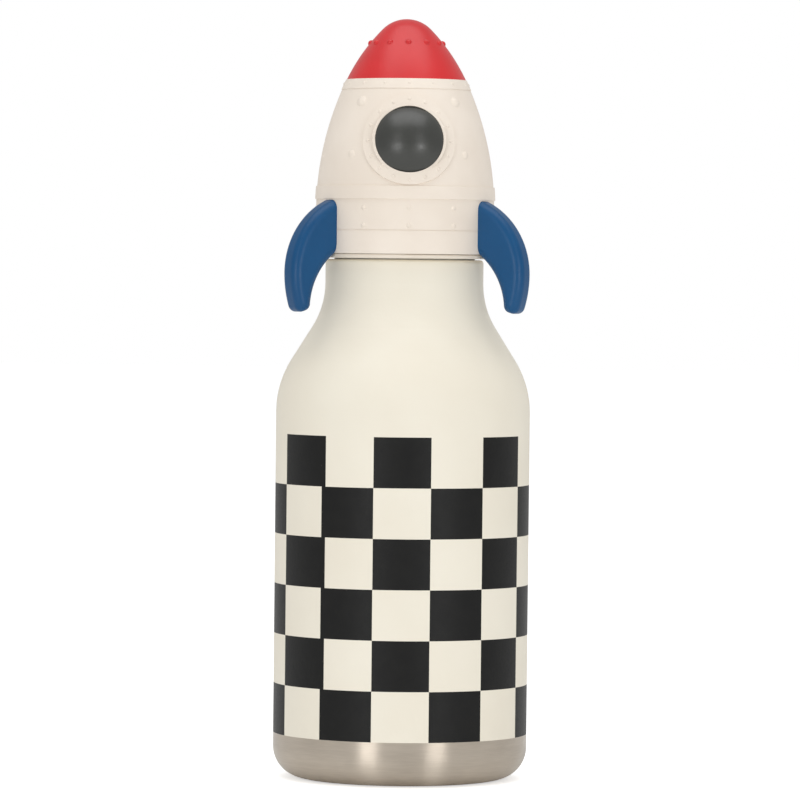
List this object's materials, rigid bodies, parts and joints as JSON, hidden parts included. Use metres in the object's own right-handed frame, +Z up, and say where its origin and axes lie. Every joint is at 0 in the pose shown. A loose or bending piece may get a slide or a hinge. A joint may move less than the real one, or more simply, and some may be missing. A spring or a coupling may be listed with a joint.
{
  "type": "kids water bottle",
  "caption": "Vacuum-insulated steel bottle for a child, with a pull-off rocket-shaped head over a screw-on straw lid.",
  "frame": {"origin": "centre of the foot, on the surface the bottle stands on", "axes": "+Z up along the bottle's axis, -Y towards its front, where the porthole is"},
  "size_m": [0.073, 0.0757, 0.218],
  "materials": {
    "painted_steel": "satin powder coat, cream with a black checker print",
    "bare_steel": "finely turned satin",
    "electropolished_steel": "electropolished, fine satin",
    "braze": "dull",
    "getter_metal": "dull pressed powder",
    "base_silicone": "matte",
    "seal_silicone": "matte",
    "grip_silicone": "matte",
    "spout_silicone": "satin, translucent",
    "lid_plastic": "fine matte",
    "natural_plastic": "satin, milky",
    "hull_plastic": "soft-touch matte",
    "nose_plastic": "soft-touch matte",
    "porthole_plastic": "semi-gloss",
    "fin_plastic": "satin"
  },
  "bodies": {
    "bottle": {"outer_wall": "painted_steel", "base_cup": "bare_steel", "inner_liner": "electropolished_steel", "vacuum_seal": "braze", "base_disc": "base_silicone", "getter_pellet": "getter_metal"},
    "seal": {"lid_seal": "seal_silicone"},
    "lid": {"straw_lid": "lid_plastic", "grip_ring": "grip_silicone", "straw_adaptor": "natural_plastic", "bite_spout": "spout_silicone", "straw_tube": "natural_plastic", "vent_valve": "seal_silicone"},
    "head": {"rocket_hull": "hull_plastic", "head_inner_cap": "natural_plastic", "nose_cone": "nose_plastic", "porthole_lens": "porthole_plastic", "fin_left": "fin_plastic", "fin_right": "fin_plastic", "fin_rear": "fin_plastic"}
  },
  "joints": [
    {"name": "lid_lift", "type": "slide", "parent": "bottle", "child": "seal", "axis": [0, 0, 1], "range_m": [0, 0.00901]},
    {"name": "lid_turn", "type": "hinge", "parent": "seal", "child": "lid", "pos_m": [0, 0, 0.158], "axis": [0, 0, 1], "range_deg": [0, 540]},
    {"name": "head_pull_off", "type": "slide", "parent": "lid", "child": "head", "axis": [0, 0, 1], "range_m": [0, 0.06]}
  ],
  "couplings": [
    {"joint": "lid_lift", "follows": "lid_turn", "m_per_rad": 0.00095493}
  ]
}
